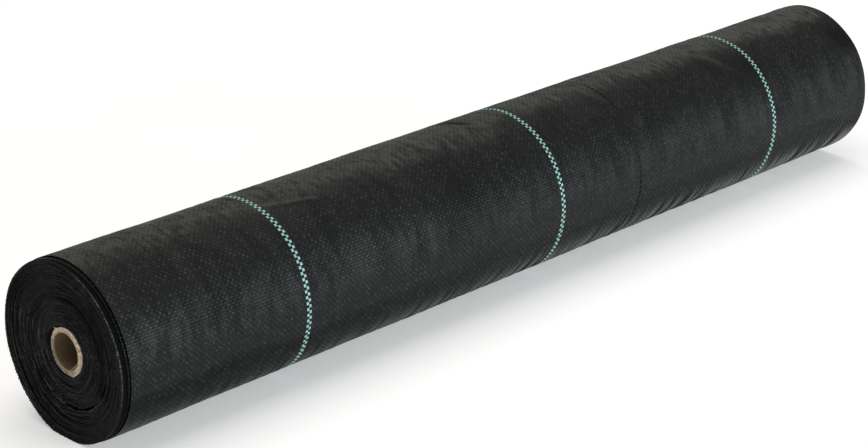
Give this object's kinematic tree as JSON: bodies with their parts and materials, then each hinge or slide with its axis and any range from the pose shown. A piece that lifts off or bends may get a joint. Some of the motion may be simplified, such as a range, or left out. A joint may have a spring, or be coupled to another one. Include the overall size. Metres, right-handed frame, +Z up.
{
  "type": "geotextile roll",
  "caption": "Roll of black woven ground-cover fabric with green marker lines, wound on a cardboard core and lying on its side; the fabric's free end lifts off the roll.",
  "frame": {"origin": "middle of the roll's flattened underside, on the surface it lies on", "axes": "+X along the roll from the end seen first to the far end, +Y towards the back where the free end lies, +Z up"},
  "size_m": [1.008, 0.1594, 0.1578],
  "materials": {
    "black_fabric": "satin",
    "green_tape": "satin",
    "cardboard": "matte",
    "clear_tape": "satin"
  },
  "bodies": {
    "roll": {"wound_fabric": "black_fabric", "core_body": "cardboard", "core_inner_ply": "cardboard", "core_outer_ply": "cardboard", "start_tape": "clear_tape", "roll_tracer_1a": "green_tape", "roll_tracer_1b": "green_tape", "roll_tracer_2a": "green_tape", "roll_tracer_2b": "green_tape", "roll_tracer_3a": "green_tape", "roll_tracer_3b": "green_tape"},
    "free_end": {"fabric_free_end": "black_fabric", "free_end_tracer_1a": "green_tape", "free_end_tracer_1b": "green_tape", "free_end_tracer_2a": "green_tape", "free_end_tracer_2b": "green_tape", "free_end_tracer_3a": "green_tape", "free_end_tracer_3b": "green_tape"}
  },
  "joints": [
    {"name": "free_end_lift", "type": "hinge", "parent": "roll", "child": "free_end", "pos_m": [0, 0.03388, 0.15069], "axis": [1, 0, 0], "range_deg": [0, 90]}
  ]
}
